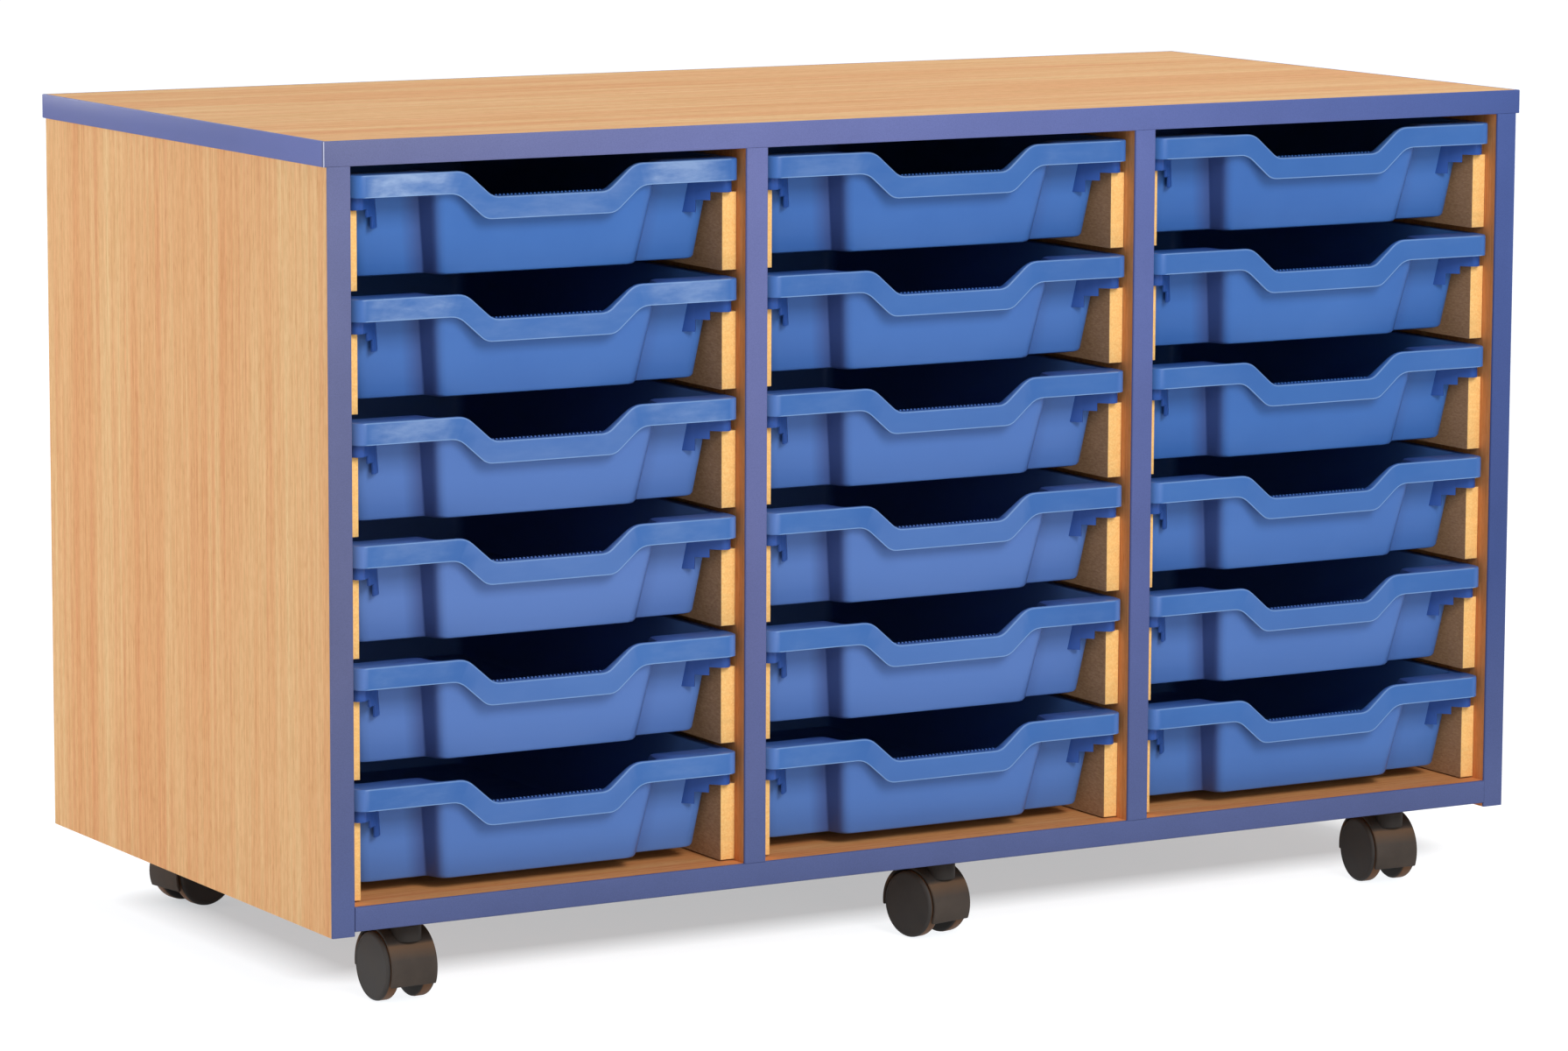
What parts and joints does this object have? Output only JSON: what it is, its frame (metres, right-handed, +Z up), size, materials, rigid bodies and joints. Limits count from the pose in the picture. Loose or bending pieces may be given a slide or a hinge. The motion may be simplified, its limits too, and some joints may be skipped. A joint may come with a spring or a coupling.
{
  "type": "classroom tray storage unit",
  "caption": "Low wheeled board cabinet with open bays of shallow plastic trays that slide on side runners, on swivelling twin-wheel castors.",
  "frame": {"origin": "on the floor, under the middle of the unit", "axes": "+X to the right seen from the front, +Y to the back, +Z up; the trays pull out towards -Y"},
  "size_m": [1.032, 0.485, 0.622],
  "materials": {
    "beech_board": "satin melamine",
    "edging": "satin",
    "runner_board": "raw board",
    "tray_plastic": "satin moulded",
    "castor_plastic": "satin moulded",
    "stem_steel": "zinc plated"
  },
  "bodies": {
    "carcass": {"top_board": "beech_board", "top_edging": "edging", "bottom_board": "beech_board", "bottom_edging": "edging", "back_panel": "beech_board", "left_side": "beech_board", "left_side_edging": "edging", "right_side": "beech_board", "right_side_edging": "edging", "divider_1": "beech_board", "divider_1_edging": "edging", "divider_2": "beech_board", "divider_2_edging": "edging", "left_bay_left_runners": "runner_board", "left_bay_right_runners": "runner_board", "middle_bay_left_runners": "runner_board", "middle_bay_right_runners": "runner_board", "right_bay_left_runners": "runner_board", "right_bay_right_runners": "runner_board", "front_left_castor_stem": "stem_steel", "front_middle_castor_stem": "stem_steel", "front_right_castor_stem": "stem_steel", "rear_left_castor_stem": "stem_steel", "rear_middle_castor_stem": "stem_steel", "rear_right_castor_stem": "stem_steel"},
    "left_tray_1": {"left_tray_1": "tray_plastic"},
    "left_tray_2": {"left_tray_2": "tray_plastic"},
    "left_tray_3": {"left_tray_3": "tray_plastic"},
    "left_tray_4": {"left_tray_4": "tray_plastic"},
    "left_tray_5": {"left_tray_5": "tray_plastic"},
    "left_tray_6": {"left_tray_6": "tray_plastic"},
    "middle_tray_1": {"middle_tray_1": "tray_plastic"},
    "middle_tray_2": {"middle_tray_2": "tray_plastic"},
    "middle_tray_3": {"middle_tray_3": "tray_plastic"},
    "middle_tray_4": {"middle_tray_4": "tray_plastic"},
    "middle_tray_5": {"middle_tray_5": "tray_plastic"},
    "middle_tray_6": {"middle_tray_6": "tray_plastic"},
    "right_tray_1": {"right_tray_1": "tray_plastic"},
    "right_tray_2": {"right_tray_2": "tray_plastic"},
    "right_tray_3": {"right_tray_3": "tray_plastic"},
    "right_tray_4": {"right_tray_4": "tray_plastic"},
    "right_tray_5": {"right_tray_5": "tray_plastic"},
    "right_tray_6": {"right_tray_6": "tray_plastic"},
    "front_left_castor_swivel": {"front_left_castor_hood": "castor_plastic"},
    "front_left_castor_wheel_pair": {"front_left_castor_wheels": "castor_plastic"},
    "front_middle_castor_swivel": {"front_middle_castor_hood": "castor_plastic"},
    "front_middle_castor_wheel_pair": {"front_middle_castor_wheels": "castor_plastic"},
    "front_right_castor_swivel": {"front_right_castor_hood": "castor_plastic"},
    "front_right_castor_wheel_pair": {"front_right_castor_wheels": "castor_plastic"},
    "rear_left_castor_swivel": {"rear_left_castor_hood": "castor_plastic"},
    "rear_left_castor_wheel_pair": {"rear_left_castor_wheels": "castor_plastic"},
    "rear_middle_castor_swivel": {"rear_middle_castor_hood": "castor_plastic"},
    "rear_middle_castor_wheel_pair": {"rear_middle_castor_wheels": "castor_plastic"},
    "rear_right_castor_swivel": {"rear_right_castor_hood": "castor_plastic"},
    "rear_right_castor_wheel_pair": {"rear_right_castor_wheels": "castor_plastic"}
  },
  "joints": [
    {"name": "left_tray_1_slide", "type": "slide", "parent": "carcass", "child": "left_tray_1", "axis": [0, -1, 0], "range_m": [0, 0.4]},
    {"name": "left_tray_2_slide", "type": "slide", "parent": "carcass", "child": "left_tray_2", "axis": [0, -1, 0], "range_m": [0, 0.4]},
    {"name": "left_tray_3_slide", "type": "slide", "parent": "carcass", "child": "left_tray_3", "axis": [0, -1, 0], "range_m": [0, 0.4]},
    {"name": "left_tray_4_slide", "type": "slide", "parent": "carcass", "child": "left_tray_4", "axis": [0, -1, 0], "range_m": [0, 0.4]},
    {"name": "left_tray_5_slide", "type": "slide", "parent": "carcass", "child": "left_tray_5", "axis": [0, -1, 0], "range_m": [0, 0.4]},
    {"name": "left_tray_6_slide", "type": "slide", "parent": "carcass", "child": "left_tray_6", "axis": [0, -1, 0], "range_m": [0, 0.4]},
    {"name": "middle_tray_1_slide", "type": "slide", "parent": "carcass", "child": "middle_tray_1", "axis": [0, -1, 0], "range_m": [0, 0.4]},
    {"name": "middle_tray_2_slide", "type": "slide", "parent": "carcass", "child": "middle_tray_2", "axis": [0, -1, 0], "range_m": [0, 0.4]},
    {"name": "middle_tray_3_slide", "type": "slide", "parent": "carcass", "child": "middle_tray_3", "axis": [0, -1, 0], "range_m": [0, 0.4]},
    {"name": "middle_tray_4_slide", "type": "slide", "parent": "carcass", "child": "middle_tray_4", "axis": [0, -1, 0], "range_m": [0, 0.4]},
    {"name": "middle_tray_5_slide", "type": "slide", "parent": "carcass", "child": "middle_tray_5", "axis": [0, -1, 0], "range_m": [0, 0.4]},
    {"name": "middle_tray_6_slide", "type": "slide", "parent": "carcass", "child": "middle_tray_6", "axis": [0, -1, 0], "range_m": [0, 0.4]},
    {"name": "right_tray_1_slide", "type": "slide", "parent": "carcass", "child": "right_tray_1", "axis": [0, -1, 0], "range_m": [0, 0.4]},
    {"name": "right_tray_2_slide", "type": "slide", "parent": "carcass", "child": "right_tray_2", "axis": [0, -1, 0], "range_m": [0, 0.4]},
    {"name": "right_tray_3_slide", "type": "slide", "parent": "carcass", "child": "right_tray_3", "axis": [0, -1, 0], "range_m": [0, 0.4]},
    {"name": "right_tray_4_slide", "type": "slide", "parent": "carcass", "child": "right_tray_4", "axis": [0, -1, 0], "range_m": [0, 0.4]},
    {"name": "right_tray_5_slide", "type": "slide", "parent": "carcass", "child": "right_tray_5", "axis": [0, -1, 0], "range_m": [0, 0.4]},
    {"name": "right_tray_6_slide", "type": "slide", "parent": "carcass", "child": "right_tray_6", "axis": [0, -1, 0], "range_m": [0, 0.4]},
    {"name": "front_left_castor_turn", "type": "hinge", "parent": "carcass", "child": "front_left_castor_swivel", "pos_m": [-0.442, -0.2165, 0.05769], "axis": [0, 0, 1], "continuous": true},
    {"name": "front_left_castor_roll", "type": "hinge", "parent": "front_left_castor_swivel", "child": "front_left_castor_wheel_pair", "pos_m": [-0.44252, -0.20151, 0.02509], "axis": [0.9994, 0.0349, 0], "continuous": true},
    {"name": "front_middle_castor_turn", "type": "hinge", "parent": "carcass", "child": "front_middle_castor_swivel", "pos_m": [0.008, -0.2165, 0.05769], "axis": [0, 0, 1], "continuous": true},
    {"name": "front_middle_castor_roll", "type": "hinge", "parent": "front_middle_castor_swivel", "child": "front_middle_castor_wheel_pair", "pos_m": [0.00488, -0.20183, 0.02509], "axis": [0.9781, 0.2079, 0], "continuous": true},
    {"name": "front_right_castor_turn", "type": "hinge", "parent": "carcass", "child": "front_right_castor_swivel", "pos_m": [0.422, -0.2165, 0.05769], "axis": [0, 0, 1], "continuous": true},
    {"name": "front_right_castor_roll", "type": "hinge", "parent": "front_right_castor_swivel", "child": "front_right_castor_wheel_pair", "pos_m": [0.42305, -0.20154, 0.02509], "axis": [0.9976, -0.0698, 0], "continuous": true},
    {"name": "rear_left_castor_turn", "type": "hinge", "parent": "carcass", "child": "rear_left_castor_swivel", "pos_m": [-0.442, 0.1725, 0.05769], "axis": [0, 0, 1], "continuous": true},
    {"name": "rear_left_castor_roll", "type": "hinge", "parent": "rear_left_castor_swivel", "child": "rear_left_castor_wheel_pair", "pos_m": [-0.42723, 0.17511, 0.02509], "axis": [0.1736, -0.9848, 0], "continuous": true},
    {"name": "rear_middle_castor_turn", "type": "hinge", "parent": "carcass", "child": "rear_middle_castor_swivel", "pos_m": [0.008, 0.1725, 0.05769], "axis": [0, 0, 1], "continuous": true},
    {"name": "rear_middle_castor_roll", "type": "hinge", "parent": "rear_middle_castor_swivel", "child": "rear_middle_castor_wheel_pair", "pos_m": [0.00166, 0.1861, 0.02509], "axis": [0.9063, 0.4226, 0], "continuous": true},
    {"name": "rear_right_castor_turn", "type": "hinge", "parent": "carcass", "child": "rear_right_castor_swivel", "pos_m": [0.422, 0.1725, 0.05769], "axis": [0, 0, 1], "continuous": true},
    {"name": "rear_right_castor_roll", "type": "hinge", "parent": "rear_right_castor_swivel", "child": "rear_right_castor_wheel_pair", "pos_m": [0.42713, 0.1866, 0.02509], "axis": [0.9397, -0.342, 0], "continuous": true}
  ]
}
